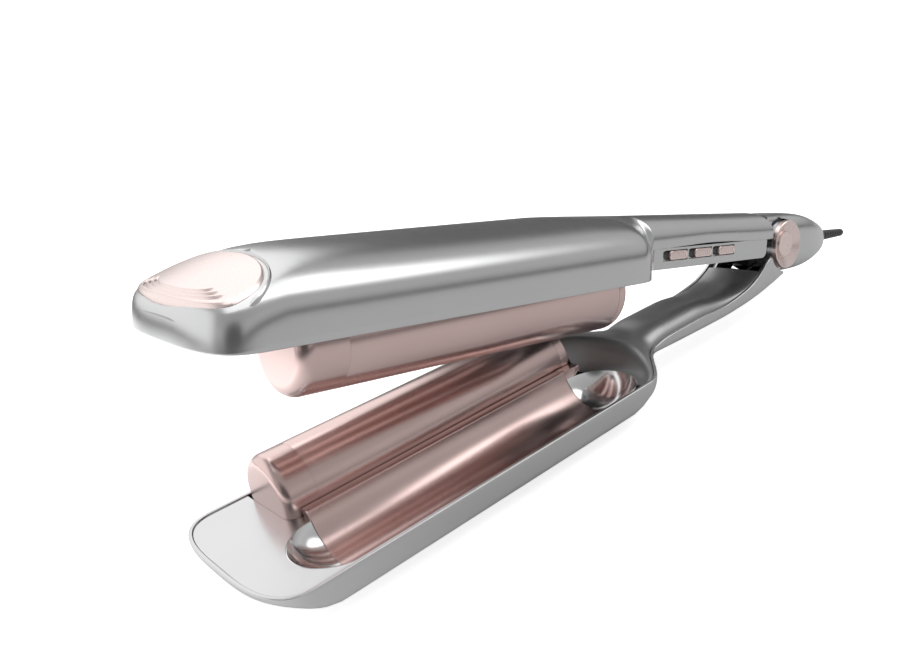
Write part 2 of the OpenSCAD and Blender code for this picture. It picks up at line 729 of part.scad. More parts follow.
module housing_body() {
  nx = len(house_x);
  pts = [for (x = house_x) for (j = [0:house_n - 1]) let (
      a = 360 * j / house_n, q = 2 / house_pow(x), f = house_f(x)
    ) [x, hw_handle * 1.01 * f * sgn_pow(cos(a), q),
      house_zc(x) + house_top(x) * f * sgn_pow(sin(a), q)]];
  quads = [for (i = [0:nx - 2]) for (j = [0:house_n - 1]) let (
      a = i * house_n + j, b = i * house_n + (j + 1) % house_n)
    each [[a, b + house_n, b], [a, a + house_n, b + house_n]]];
  e = (nx - 1) * house_n;
  ends = [for (j = [1:house_n - 2]) each [[0, j, j + 1], [e, e + j + 1, e + j]]];
  polyhedron(pts, concat(quads, ends), convexity = 4);
}

module rear_housing() {
  color(silver) on_upper() difference() {
    housing_body();
    rod_y(-20, 20, pocket_r);
    for (s = [-1, 1]) scale([1, s, 1]) box(-20, 0, knuckle_y, 20, -30, 30);
    box(-20, 0, -20, 20, -30, 4);
    box(0, 30, -9, 9, -7, 7);
    translate([0, 0, collar_z]) rod_x(20, 60, collar_d / 2 + 0.3);
    translate([0, 0, collar_z]) rod_x(socket_x0 - 2.2, socket_x1, 6.3);
  }
}

module swivel_socket() {
  color(dark) on_upper() translate([0, 0, collar_z]) difference() {
    union() {
      rod_x(socket_x0, socket_x1, 6.3);
    }
    rod_x(20, 60, 3.4);
  }
}

module swivel_collar() {
  color(dark) on_upper() translate([0, 0, collar_z]) difference() {
    union() {
      rod_x(socket_x1 + 0.4, housing_length + 1.6, collar_d / 2);
      rod_x(socket_x0 - 0.8, socket_x1 + 0.6, 3.4 - 0.05);
      rod_x(socket_x0 - 2.8, socket_x0 - 0.4, 4.6);
    }
    rod_x(20, 60, 1.8);
  }
}

module cord_boot() {
  color(dark) on_upper() translate([0, 0, collar_z]) difference() {
    union() {
      rod_x(housing_length + 1.6, housing_length + 2.4, 3.1);
      translate([housing_length + 2.4, 0, 0]) rotate([0, 90, 0])
        cylinder(h = boot_length, r1 = boot_r0, r2 = boot_r1);
    }
    rod_x(housing_length, boot_x1 + 1, cord_d / 2);
  }
}

module lead_wires() {
  color([0.7, 0.2, 0.15]) on_upper() for (y = [2.4, 5])
    translate([0, y, 9.3]) rod_x(-100, -14, 0.8);
}

lower_casing();
lower_deck();
lower_fairing();
lower_plate();
lower_front_cap();
lower_scoops();
lower_carrier();
lower_heaters();
thermal_fuse();
hinge_fork();
hinge_pin();
hinge_discs();
return_spring();
upper_casing();
upper_deck();
upper_plate();
upper_end_caps();
upper_carrier();
upper_heaters();
upper_frame();
handle_base();
thumb_pad();
circuit_board();
switches();
button_1();
button_2();
button_3();
rear_housing();
swivel_socket();
swivel_collar();
cord_boot();
lead_wires();
screws_lower();
screws_upper();
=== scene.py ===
import math

import bmesh
import bpy
from mathutils import Matrix, Vector


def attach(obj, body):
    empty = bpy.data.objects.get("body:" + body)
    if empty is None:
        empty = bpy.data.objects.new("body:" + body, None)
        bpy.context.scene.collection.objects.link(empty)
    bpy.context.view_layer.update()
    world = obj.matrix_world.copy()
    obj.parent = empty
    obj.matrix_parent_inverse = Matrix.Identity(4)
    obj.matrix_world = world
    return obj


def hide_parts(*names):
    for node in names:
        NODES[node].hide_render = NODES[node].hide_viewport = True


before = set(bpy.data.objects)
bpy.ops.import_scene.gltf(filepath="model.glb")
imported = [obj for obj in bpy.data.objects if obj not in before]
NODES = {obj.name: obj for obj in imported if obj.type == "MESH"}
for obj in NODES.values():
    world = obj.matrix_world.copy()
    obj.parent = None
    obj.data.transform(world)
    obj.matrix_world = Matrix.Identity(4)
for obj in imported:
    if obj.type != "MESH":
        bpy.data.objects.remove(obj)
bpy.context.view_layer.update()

# ---------------------------------------------------------------- measures
# All shapes are worked out in millimetres in the arm frame: hinge axis along Y through
# the origin, tips toward -X, +Z up, the upper arm drawn closed and then swung open.

MM = 0.001
OPEN = math.radians(11.22)
SHIFT = Vector((88.95279, 0, 24.6))
LOWER = Matrix.Scale(MM, 4) @ Matrix.Translation(SHIFT)
UPPER = LOWER @ Matrix.Rotation(OPEN, 4, "Y")

# the upper wave plate is the lower one turned over about this height
MID_Z = -6.5
FLIP = (Matrix.Translation((0, 0, MID_Z)) @ Matrix.Rotation(math.pi, 4, "X")
        @ Matrix.Translation((0, 0, -MID_Z)))

# the strip with the buttons lies lower than the handle and at a slant
STRIP_DROP, STRIP_TILT = -0.88, math.radians(1.77)
STRIP = Matrix.Translation((0, 0, STRIP_DROP)) @ Matrix.Rotation(STRIP_TILT, 4, "Y")

# casings
RIM_LOW, RIM_UP = -11.5, -1.5
HALF_LOW, HALF_UP, HALF_HANDLE = 29.0, 29.6, 13.0
TIP_LOW, TIP_UP = -250.0, -250.6
NECK_FROM, NECK_TO = -113.5, -87.5
WALL, HANDLE_WALL = 5.7, 2.2
CROWN, CROWN_FALL, CROWN_FROM = 19.7, 0.047, -125
BELLY = RIM_LOW - 13.1
SHELL, BEAD = 1.3, 0.28
NOSE, NOSE_POWER, NOSE_POWER_UP = 13.4, 3.0, 3.4
SPINE = 24
RAMP_Z, RAMP_RISE, RAMP_SAG, RAMP_X = 10.2, 0.40, 0.0035, 250
GAP = 0.15
DECK_Z, DECK_THICK = RIM_LOW - 0.4, 1.1

# wave plates
BARREL_R, TROUGH_R, PLATE = 12.4, 13.5, 1.2
OFFSET = 14.65
BARREL_Z, TROUGH_Z = RIM_LOW + 2.65, RIM_LOW + 4.4
LAND_Z, LAND_THICK = TROUGH_Z - 2.2, 3
FRONT_LOW, FRONT_UP = -227.2, -229.7
BARREL_X0, BARREL_X1 = -217.2, -116.4
REAR_LOW_CAP, REAR_LOW_EDGE = 4, 0.6
REAR_UP, REAR_CAP, CAP_EDGE = -117.4, 5.0, 3.5
TROUGH_X0, TROUGH_X1 = -223.3, -123.3
PLATE_SIDE = HALF_LOW - SHELL - GAP
SLEEVE_SKIRT, CAP_SKIRT = 3, 2.9
SCOOP_WALL, SCOOP_ROOM = 0.35, 0.37

# hinge, rear housing and swivel
ARC_R = 10.9
COLLAR_Z = -1.2
KNUCKLE_ROOM, FORK_SIDE, FORK_TOP, SOCKET_R = 10.2, 9.2, 4, 4.8


def step3(u):
    """A smooth step from 0 to 1."""
    u = max(0.0, min(1.0, u))
    return u * u * (3 - 2 * u)


def dome(u, p):
    """A superellipse arc that rises from 0 to 1."""
    return (1 - (1 - max(0.0, min(1.0, u))) ** p) ** (1 / p)


def softmin(a, b, q=9):
    """The lesser of two heights, with a rounded edge where they cross."""
    return 0.0 if a <= 0 else (a ** -q + b ** -q) ** (-1 / q)


def curve(x, table):
    """A smooth line through a few (x, value) points, flat beyond its ends."""
    if x <= table[0][0]:
        return table[0][1]
    if x >= table[-1][0]:
        return table[-1][1]
    i = max(k for k in range(len(table) - 1) if table[k][0] <= x)

    def slope(k):
        if k <= 0 or k >= len(table) - 1:
            return 0.0
        a = (table[k][1] - table[k - 1][1]) / (table[k][0] - table[k - 1][0])
        b = (table[k + 1][1] - table[k][1]) / (table[k + 1][0] - table[k][0])
        return 0.0 if a * b <= 0 else 2 * a * b / (a + b)

    (x0, y0), (x1, y1) = table[i], table[i + 1]
    h, m0, m1 = x1 - x0, slope(i), slope(i + 1)
    s = (x - x0) / h
    return ((2 * s**3 - 3 * s * s + 1) * y0 + (s**3 - 2 * s * s + s) * h * m0
            + (3 * s * s - 2 * s**3) * y1 + (s**3 - s * s) * h * m1)


# ---------------------------------------------------------------- modelling helpers

MERGE = 1e-4
SMOOTH_ANGLE = 35


def add(name, data):
    """A new object in the scene."""
    obj = bpy.data.objects.new(name, data)
    bpy.context.scene.collection.objects.link(obj)
    return obj


def sheet(bm, columns, rows, place):
    """A closed grid of columns x rows faces, bent into shape by place(u, v), both 0 to 1."""
    made = bmesh.ops.create_grid(bm, x_segments=columns, y_segments=rows, size=1)["verts"]
    for v in made:
        v.co = place((v.co.x + 1) / 2, (v.co.y + 1) / 2)
    bmesh.ops.remove_doubles(bm, verts=made, dist=MERGE)


def turned(bm, profile, axis, angle=2 * math.pi, steps=96):
    """A profile spun round an axis through the origin."""
    verts = [bm.verts.new(p) for p in profile]
    edges = [bm.edges.new((a, b)) for a, b in zip(verts, verts[1:])]
    whole = abs(angle - 2 * math.pi) < 1e-6
    bmesh.ops.spin(bm, geom=verts + edges, cent=(0, 0, 0), axis=axis, angle=angle, steps=steps,
                   use_merge=whole, use_duplicate=False)
    bmesh.ops.remove_doubles(bm, verts=bm.verts, dist=MERGE)


def extruded(bm, faces):
    """Extrudes faces in place and returns the new vertices, still to be moved."""
    made = bmesh.ops.extrude_face_region(bm, geom=faces)["geom"]
    return [v for v in made if isinstance(v, bmesh.types.BMVert)]


def fill_holes(bm, sides=0):
    """Closes every open edge loop, or only those of up to the given number of sides."""
    bmesh.ops.holes_fill(bm, edges=[e for e in bm.edges if e.is_boundary], sides=sides)


def bar(bm, x0, x1, y0, y1, z0, z1):
    """A block between six measures."""
    for v in bmesh.ops.create_cube(bm, size=1)["verts"]:
        v.co = ((x0, x1)[v.co.x > 0], (y0, y1)[v.co.y > 0], (z0, z1)[v.co.z > 0])


def block(*measures):
    """A block of its own, to cut with."""
    made = bmesh.new()
    bar(made, *measures)
    return made


def rod(radius, segments, place):
    """A long round rod of its own, to cut with."""
    made = bmesh.new()
    bmesh.ops.create_cone(made, cap_ends=True, segments=segments, radius1=radius,
                          radius2=radius, depth=40, matrix=place)
    return made


def ball():
    """The ball that a polished scoop lies in, to cut with."""
    made = bmesh.new()
    bmesh.ops.create_uvsphere(made, u_segments=128, v_segments=64, radius=TROUGH_R + SCOOP_ROOM)
    return made


def round_edges(bm, edges, width, segments):
    """Rounds the given edges."""
    bmesh.ops.bevel(bm, geom=edges, offset=width, affect="EDGES", segments=segments,
                    profile=0.5, material=-1)


def soften(bm, width, segments=3, angle=40):
    """Rounds every edge sharper than the angle."""
    sharp = [e for e in bm.edges if len(e.link_faces) == 2
             and e.calc_face_angle(0) > math.radians(angle)]
    bmesh.ops.bevel(bm, geom=sharp, offset=width, offset_type="OFFSET", affect="EDGES",
                    segments=segments, profile=0.5, material=-1, clamp_overlap=True)


def as_mesh(bm, name, place):
    """Ends a bmesh: merged, facing outward, moved into place and turned into a mesh."""
    bmesh.ops.remove_doubles(bm, verts=bm.verts, dist=MERGE)
    bmesh.ops.recalc_face_normals(bm, faces=bm.faces)
    bm.transform(place)
    mesh = bpy.data.meshes.new(name)
    bm.to_mesh(mesh)
    bm.free()
    return mesh


def shade_smooth(mesh, angle):
    """Smooth shading, with edges sharper than the angle kept crisp."""
    mesh.polygons.foreach_set("use_smooth", [True] * len(mesh.polygons))
    mesh.set_sharp_from_angle(angle=math.radians(angle))


def piece(bm, name, body, finish, place, stands_for, smooth=SMOOTH_ANGLE):
    """Turns a bmesh into a finished piece that rides a body and stands for CAD nodes."""
    mesh = as_mesh(bm, name, place)
    shade_smooth(mesh, smooth)
    mesh.materials.append(finish)
    obj = add(name, mesh)
    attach(obj, body)
    if stands_for:
        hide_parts(*stands_for)
    return obj


def cut(obj, cutter_bm, place):
    """Takes a shape out of a finished piece."""
    mesh = as_mesh(cutter_bm, "cutter", place)
    tool = add("cutter", mesh)
    mod = obj.modifiers.new("cut", "BOOLEAN")
    mod.operation, mod.solver, mod.object = "DIFFERENCE", "EXACT", tool
    bpy.context.view_layer.update()
    graph = bpy.context.evaluated_depsgraph_get()
    done = bpy.data.meshes.new_from_object(obj.evaluated_get(graph))
    obj.modifiers.clear()
    old = obj.data
    obj.data = done
    done.name = obj.name
    bpy.data.objects.remove(tool)
    bpy.data.meshes.remove(old)
    shade_smooth(done, SMOOTH_ANGLE)


# ---------------------------------------------------------------- finishes

FLAKE_SIZE, CLOUD_SIZE = 2200.0, 35.0
STREAK_STRETCH = (6, 900, 900)
NOISE_LOW, NOISE_HIGH = 0.3, 0.7
RELIEF_DEPTH = 0.0002


def value_map(tree, source, low, high, a=0.0, b=1.0):
    """Maps a value from a..b to low..high."""
    node = tree.nodes.new("ShaderNodeMapRange")
    node.inputs["From Min"].default_value = a
    node.inputs["From Max"].default_value = b
    node.inputs["To Min"].default_value = low
    node.inputs["To Max"].default_value = high
    tree.links.new(source, node.inputs["Value"])
    return node.outputs["Result"]


def grain_group():
    """Cloudy tone, fine flake and long streaks over Object coordinates."""
    group = bpy.data.node_groups.new("surface_grain", "ShaderNodeTree")
    face = group.interface
    for name, value in (("Flake Size", FLAKE_SIZE), ("Cloud Size", CLOUD_SIZE), ("Streak", 0.0)):
        socket = face.new_socket(name=name, in_out="INPUT", socket_type="NodeSocketFloat")
        socket.default_value = value
    for name in ("Flake", "Cloud", "Height"):
        face.new_socket(name=name, in_out="OUTPUT", socket_type="NodeSocketFloat")
    enter, leave = group.nodes.new("NodeGroupInput"), group.nodes.new("NodeGroupOutput")
    coord = group.nodes.new("ShaderNodeTexCoord")
    flake, cloud, streak = (group.nodes.new("ShaderNodeTexNoise") for _ in range(3))
    flake.inputs["Detail"].default_value = 2
    cloud.inputs["Detail"].default_value = 3
    stretch = group.nodes.new("ShaderNodeMapping")
    stretch.inputs["Scale"].default_value = STREAK_STRETCH
    link = group.links.new
    link(coord.outputs["Object"], flake.inputs["Vector"])
    link(coord.outputs["Object"], cloud.inputs["Vector"])
    link(coord.outputs["Object"], stretch.inputs["Vector"])
    link(stretch.outputs["Vector"], streak.inputs["Vector"])
    streak.inputs["Scale"].default_value = 1
    link(enter.outputs["Flake Size"], flake.inputs["Scale"])
    link(enter.outputs["Cloud Size"], cloud.inputs["Scale"])
    mix = group.nodes.new("ShaderNodeMix")
    link(enter.outputs["Streak"], mix.inputs["Factor"])
    link(flake.outputs["Fac"], mix.inputs["A"])
    link(streak.outputs["Fac"], mix.inputs["B"])
    link(flake.outputs["Fac"], leave.inputs["Flake"])
    link(cloud.outputs["Fac"], leave.inputs["Cloud"])
    link(mix.outputs["Result"], leave.inputs["Height"])
    return group


GRAIN = grain_group()


def finish(name, colour, other, metallic, rough, spread=0.04, bump=0.02, flake=FLAKE_SIZE,
           streak=0.0, specular=0.5):
    """A moulded, painted or plated finish: cloudy tone between two colours, fine grain."""
    made = bpy.data.materials.new(name)
    made.use_nodes = True
    tree = made.node_tree
    shader = tree.nodes["Principled BSDF"]
    shader.inputs["Metallic"].default_value = metallic
    shader.inputs["Specular IOR Level"].default_value = specular
    grain = tree.nodes.new("ShaderNodeGroup")
    grain.node_tree = GRAIN
    grain.inputs["Flake Size"].default_value = flake
    grain.inputs["Cloud Size"].default_value = CLOUD_SIZE
    grain.inputs["Streak"].default_value = streak
    tone = tree.nodes.new("ShaderNodeMix")
    tone.data_type = "RGBA"
    tone.inputs["A"].default_value = (*colour, 1)
    tone.inputs["B"].default_value = (*other, 1)
    tree.links.new(value_map(tree, grain.outputs["Cloud"], 0, 1, NOISE_LOW, NOISE_HIGH),
                   tone.inputs["Factor"])
    tree.links.new(tone.outputs["Result"], shader.inputs["Base Color"])
    tree.links.new(value_map(tree, grain.outputs["Height"], rough - spread, rough + spread,
                             NOISE_LOW, NOISE_HIGH), shader.inputs["Roughness"])
    if not bump:
        return made
    relief = tree.nodes.new("ShaderNodeBump")
    relief.inputs["Strength"].default_value = bump
    relief.inputs["Distance"].default_value = RELIEF_DEPTH
    tree.links.new(grain.outputs["Height"], relief.inputs["Height"])
    tree.links.new(relief.outputs["Normal"], shader.inputs["Normal"])
    return made


def even(name, colour, other, metallic, rough, spread=0.01, streak=0.0):
    """A finish without relief, whose grain only varies its tone and its gloss a little."""
    return finish(name, colour, other, metallic, rough, spread, bump=0.0, flake=300,
                  streak=streak)


SILVER = even("silver_lacquer", (0.58, 0.58, 0.585), (0.60, 0.60, 0.605), 0.95, 0.25)
DECK = even("pale_silver_lacquer", (0.60, 0.60, 0.605), (0.62, 0.62, 0.625), 0.95, 0.25)
# darker copy of the silver lacquer: painted shade on the neck cover under the handle
NECK = even("silver_lacquer_painted_shade", (0.34, 0.34, 0.345), (0.36, 0.36, 0.365), 0.9, 0.40, 0.015)
ROSE = even("rose_coated_plate", (0.66, 0.50, 0.475), (0.69, 0.525, 0.50), 1.0, 0.23, streak=0.2)
ROSE_TRIM = even("rose_plating", (0.82, 0.68, 0.65), (0.85, 0.71, 0.68), 0.9, 0.27)
SCOOP = even("polished_silver", (0.74, 0.74, 0.74), (0.77, 0.77, 0.77), 1.0, 0.15)
# dark moulding, also used for the painted shadow wedges in front of the buttons
DARK = finish("dark_moulding_and_painted_shadow", (0.055, 0.055, 0.06), (0.075, 0.075, 0.08), 0.0, 0.45, bump=0.12)
RUBBER = finish("black_rubber", (0.012, 0.012, 0.013), (0.02, 0.02, 0.02), 0.0, 0.38, bump=0.1)
STEEL = finish("plain_steel", (0.55, 0.55, 0.56), (0.62, 0.62, 0.63), 1.0, 0.28, streak=0.6)
HEATER = finish("mill_aluminium", (0.62, 0.60, 0.55), (0.70, 0.68, 0.62), 1.0, 0.4, streak=0.7)
BOARD = finish("solder_mask", (0.02, 0.16, 0.07), (0.03, 0.22, 0.10), 0.0, 0.35)
WIRE = finish("silicone_cover", (0.40, 0.05, 0.04), (0.46, 0.07, 0.05), 0.0, 0.5)

for node, finish_of in {
    "upper_deck": DECK, "handle_base": SILVER, "hinge_fork": STEEL, "hinge_pin": STEEL,
    "return_spring": STEEL, "thermal_fuse": STEEL, "screws_lower": STEEL, "screws_upper": STEEL,
    "lower_carrier": DARK, "upper_carrier": DARK, "upper_frame": DARK, "swivel_socket": DARK,
    "lower_heaters": HEATER, "upper_heaters": HEATER, "circuit_board": BOARD, "switches": DARK,
    "lead_wires": WIRE,
}.items():
    NODES[node].data.materials.clear()
    NODES[node].data.materials.append(finish_of)


# ---------------------------------------------------------------- casings

def half_width(x, w):
    """Half the width of a casing, from the head through the neck to the handle."""
    return w + (HALF_HANDLE - w) * step3((x - NECK_FROM) / (NECK_TO - NECK_FROM))


def nose_ramp(x, y):
    """Height of the slanting face at the tip of the upper head."""
    return RAMP_Z + RAMP_RISE * (x + RAMP_X) - RAMP_SAG * y * y


def nose_wall(x):
    """Height of the upright side wall, which runs out toward the tip."""
    return WALL * (0.2 + 0.8 * step3((x + 248.5) / 17))


COVER_RIM = [(-90.2, RIM_UP), (-88.8, RIM_UP + 1.6), (-87.5, 5.1), (-60, 5.1), (-10, 2.9)]


def cover_rim(x):
    """Lower edge of the upper casing, which steps up over the handle's side strip."""
    return RIM_UP if x < COVER_RIM[0][0] else curve(x, COVER_RIM)


def cover_height(px, x, y, s, reach, t):
    """Height of the upper casing; t is 0 on the outer face and SHELL on the inner one."""
    neck = step3((px - NECK_FROM) / (NECK_TO - NECK_FROM))
    wall = nose_wall(px) if px < NECK_FROM else WALL + (HANDLE_WALL - WALL) * neck
    rim = cover_rim(px)
    top = RIM_UP + CROWN - CROWN_FALL * max(0, x - CROWN_FROM) - rim - wall - t
    power = 2.5 - 0.3 * step3((px + 110) / 25)
    u = (s - t / reach) / (1 - t / reach)
    return rim + wall - t * 0.3 + softmin(top * dome(u, power), nose_ramp(x, y) - wall - t)


NECK_RIM = [(-92, RIM_LOW), (-80, -10.2), (-62, -10.3), (-45, -11.1), (-30, -9.8), (-20, -6.7),
            (-12.1, -2.3)]
NECK_WALL = [(-122, -17.2), (-117, -16.3), (-113, -14.6), (-109, -13.3), (-103, -12.4),
             (-98, -12.1), (-88, -12.2), (-80, -12.6), (-66, -13.2), (-52, -13.7),
             (-44, -13.9), (-33, -13.7), (-22, -13.1), (-15.6, -12.5), (-9.4, -12.0),
             (-3.4, -11.2)]
TRAY_EDGE = [(NECK_FROM, 2.0), (NECK_TO, 1.5), (-20, 1.5), (-3.4, 0.7)]
TRAY_SLOPE = [(NECK_FROM, 6.4), (NECK_TO, 2.6), (-30, 2.4), (-3.4, 0.8)]
TRAY_POWER = 1.9


def neck_rim(x):
    """Upper edge of the lower casing, which ends in an arc round the hinge."""
    return -math.sqrt(ARC_R**2 - x * x) if x > -10.7 else curve(x, NECK_RIM)


def belly_height(px, x, y, s, reach, t):
    """Height of the lower casing; t is 0 on the outer face and SHELL on the inner one."""
    wall = RIM_LOW - nose_wall(px) if px < NECK_WALL[0][0] else curve(px, NECK_WALL)
    edge = 2 * (0.3 + 0.7 * step3((px + 250) / 14)) if px < -200 else curve(px, TRAY_EDGE)
    q = 1 - min(1, s * max(HALF_HANDLE, min(reach, HALF_LOW)) / 2)
    drop = edge * math.sqrt(1 - q * q) + curve(px, TRAY_SLOPE) * (1 - (1 - s) ** TRAY_POWER)
    return max(BELLY + t, min(neck_rim(px) - (0.55 if t > 0 else 0.2), wall - drop + t))


def outline(tip, half, stations, power, steps=40):
    """Half of the plan outline, from the tip to the rear end."""
    points = []
    for i in range(steps + 1):
        a = math.pi / 2 * i / steps
        points.append((tip + NOSE * (1 - max(0.0, math.cos(a)) ** (2 / power)),
                       half * math.sin(a) ** (2 / power)))
    return points + [(x, half_width(x, half)) for x in stations]


def both_sides(line):
    """A half outline with its mirror image, from rear end to rear end."""
    return [(x, -y) for x, y in reversed(line[1:])] + line


def span(a, b, n):
    """The n steps from a to b, without a itself."""
    return [a + (b - a) * (i + 1) / n for i in range(n)]


# marks of the rings near a casing's rim: on top of its bead, or at the bead's foot; other
# marks below 0 lie on the bead's rounding, and those above 0 on the wall
ON_RIM, FOOT = -2, -1


def casing(name, tip, half, power, rear, stations, rim, height, rings, body, node, place):
    """One closed skin of rings: outer face, rounded rim and inner face."""
    line = both_sides(outline(tip, half, stations, power))
    bend = [(BEAD * (1 - math.cos(math.radians(a))), -math.sin(math.radians(a)))
            for a in (30, 60)]
    levels = [(u, 0.0, None) for u in rings[::-1]]
    levels += [(0, 0.0, mark) for mark in (0.8, 0.55, 0.3, FOOT)]
    levels += [(0, t, mark) for t, mark in bend]
    levels += [(0, BEAD, ON_RIM), (0, SHELL - BEAD, ON_RIM)]
    levels += [(0, SHELL - t, mark) for t, mark in reversed(bend)]
    levels += [(0, SHELL, FOOT)] + [(u, SHELL, None) for u in rings[::3] + [rings[-1]]]

    def at(u, v):
        px, py = line[round(u * (len(line) - 1))]
        level, t, mark = levels[round(v * (len(levels) - 1))]
        spine = max(tip + SPINE, min(rear, px))
        reach = max(1.0, math.hypot(px - spine, py))
        s = t / reach + (1 - t / reach) * level
        x, y = px + (spine - px) * s, py * (1 - s)
        z = height(px, x, y, s, reach, SHELL if t == SHELL else 0.0)
        if mark is not None:
            top, up = rim(px), (1 if z < rim(px) else -1)
            if mark == ON_RIM:
                z = top
            elif mark == FOOT:
                z = top - up * BEAD
            elif mark < 0:
                z = top - up * BEAD * (1 + mark)
            else:
                z = (top - up * BEAD) + (z - top + up * BEAD) * mark
        return (x, y, z)

    bm = bmesh.new()
    sheet(bm, len(line) - 1, len(levels) - 1, at)
    fill_holes(bm)
    piece(bm, name, body, SILVER, place, (node,), smooth=38)


COVER_END, TRAY_END = -10.4, -3.4
upper_stations = (span(TIP_UP + NOSE, NECK_FROM, 30) + span(NECK_FROM, -91, 18)
                  + span(-91, -86.5, 10) + span(-86.5, COVER_END, 22))
lower_stations = (span(TIP_LOW + NOSE, NECK_FROM, 30) + span(NECK_FROM, NECK_TO, 24)
                  + span(NECK_TO, -12.1, 26) + span(-12.1, TRAY_END, 16))
upper_rings = [(i / 22) ** 2.4 for i in range(23)]
lower_rings = ([0.075 * (i / 8) ** 1.5 for i in range(9)]
               + [0.075 + 0.925 * (i / 12) for i in range(1, 13)])
casing("upper_casing_skin", TIP_UP, HALF_UP, NOSE_POWER_UP, COVER_END, upper_stations,
       cover_rim, cover_height, upper_rings, "upper_arm", "upper_casing", UPPER)
casing("lower_casing_skin", TIP_LOW, HALF_LOW, NOSE_POWER, TRAY_END, lower_stations,
       neck_rim, belly_height, lower_rings, "lower_arm", "lower_casing", LOWER)


# ---------------------------------------------------------------- mound and neck cover

MOUND_END, MOUND_ROWS = -18.5, 48
FRONT_BALL = LOWER @ Matrix.Translation((TROUGH_X0, -OFFSET, TROUGH_Z))
REAR_BALL = LOWER @ Matrix.Translation((TROUGH_X1, -OFFSET, TROUGH_Z))


def cover_rise(x):
    """How far the middle of the cover stands above the rim."""
    s = step3((x - BARREL_X1) / 30)
    return (1 - s) * 10.6 + s * 4.8 * (1 - 0.9 * step3((x + 60) / 40))


def mound(u, v, rows=MOUND_ROWS):
    """The cover of the neck, top and underside, with its mound behind the barrel."""
    x = BARREL_X1 + (MOUND_END - BARREL_X1) * u
    w = half_width(x, HALF_LOW) - SHELL - GAP
    r = round(v * (2 * rows + 2)) % (2 * rows + 2)
    under = r > rows
    y = -math.cos(math.pi * ((2 * rows + 1 - r) if under else r) / rows) * w
    c = 9 * (1 - step3((x - BARREL_X1) / 34))
    side = (y - c) / (w - c) if y > c else (c - y) / (w + c)
    power = 2.2 + 0.6 * step3((x - BARREL_X1) / 30)
    dip = step3((math.hypot(x - TROUGH_X1, y + OFFSET) - TROUGH_R - 0.2) / 11)
    z = neck_rim(x) - 0.4 + cover_rise(x) * dip * max(0.0, 1 - side**power) ** (1 / 1.5)
    return (x, y, z - (DECK_THICK if under else 0))


bm = bmesh.new()
sheet(bm, 90, 2 * MOUND_ROWS + 2, mound)
fill_holes(bm)
# the neck cover takes the darker lacquer, which is painted shade
neck_cover = piece(bm, "neck_cover_skin", "lower_arm", NECK, LOWER, ("lower_fairing",))
cut(neck_cover, ball(), REAR_BALL)

# front of the deck, with the openings for the barrel's cap, the trough and its scoop
bm = bmesh.new()
line = []
for x, y in outline(TIP_LOW, HALF_LOW, [TROUGH_X1 - 5], NOSE_POWER):
    spine = max(TIP_LOW + SPINE, x)
    k = (SHELL + 0.12) / math.hypot(x - spine, y)
    line.append((x + (spine - x) * k, y * (1 - k)))
top = bm.faces.new([bm.verts.new((x, y, DECK_Z)) for x, y in both_sides(line)])
for v in extruded(bm, [top]):
    v.co.z -= DECK_THICK
front_deck = piece(bm, "front_deck_plate", "lower_arm", DECK, LOWER, ("lower_deck",))
cut(front_deck, block(TROUGH_X0, -90, -40, OFFSET, -30, 0), LOWER)
cap_side = OFFSET - math.sqrt(BARREL_R**2 - (BARREL_Z - DECK_Z) ** 2) - 0.05
tool = block(FRONT_LOW - 0.03, -90, cap_side, 60, -30, 0)
round_edges(tool, [e for e in tool.edges if abs(e.verts[0].co.z - e.verts[1].co.z) > 1],
            CAP_EDGE, 12)
cut(front_deck, tool, LOWER)
cut(front_deck, ball(), FRONT_BALL)


# ---------------------------------------------------------------- wave plates

ARC_STEPS = 72


def prism(bm, points, x0, x1):
    """A solid with one (y, z) section from x0 to x1."""
    ring = bm.faces.new([bm.verts.new((x0, y, z)) for y, z in points])
    for v in extruded(bm, [ring]):
        v.co.x = x1
    bmesh.ops.recalc_face_normals(bm, faces=bm.faces)


def barrel_sleeve(name, body, place, node, rear):
    """The round shell of a barrel between its ends."""
    bm = bmesh.new()
    low = math.asin((DECK_Z - SLEEVE_SKIRT - BARREL_Z) / BARREL_R)
    turns = [low + (math.pi - 2 * low) * i / ARC_STEPS for i in range(ARC_STEPS + 1)]
    section = [(OFFSET + r * math.cos(a), BARREL_Z + r * math.sin(a))
               for r, order in ((BARREL_R, 1), (BARREL_R - PLATE, -1)) for a in turns[::order]]
    prism(bm, section, BARREL_X0 + 0.02, rear)
    soften(bm, 0.12, 2, 60)
    piece(bm, name, body, ROSE, place, (node,))


def trough_tray(name, body, place, node):
    """The hollow beside a barrel, with the land that joins the two."""
    bm = bmesh.new()
    a0 = math.pi + math.asin((TROUGH_Z - DECK_Z) / TROUGH_R)
    a1 = 2 * math.pi - math.asin((TROUGH_Z - LAND_Z) / TROUGH_R)
    arc = [a0 + (a1 - a0) * i / ARC_STEPS for i in range(ARC_STEPS + 1)]
    top = [(-OFFSET + TROUGH_R * math.cos(a), TROUGH_Z + TROUGH_R * math.sin(a)) for a in arc]
    land_y = OFFSET - BARREL_R - GAP
    land = [(land_y, LAND_Z), (land_y, LAND_Z - LAND_THICK)]
    under = [(max(-PLATE_SIDE, -OFFSET + (TROUGH_R + PLATE) * math.cos(a)),
              TROUGH_Z + (TROUGH_R + PLATE) * math.sin(a)) for a in reversed(arc[:-6])]
    prism(bm, top + land + under, TROUGH_X0, TROUGH_X1)
    soften(bm, 0.3, 3, 60)
    piece(bm, name, body, ROSE, place, (node,))


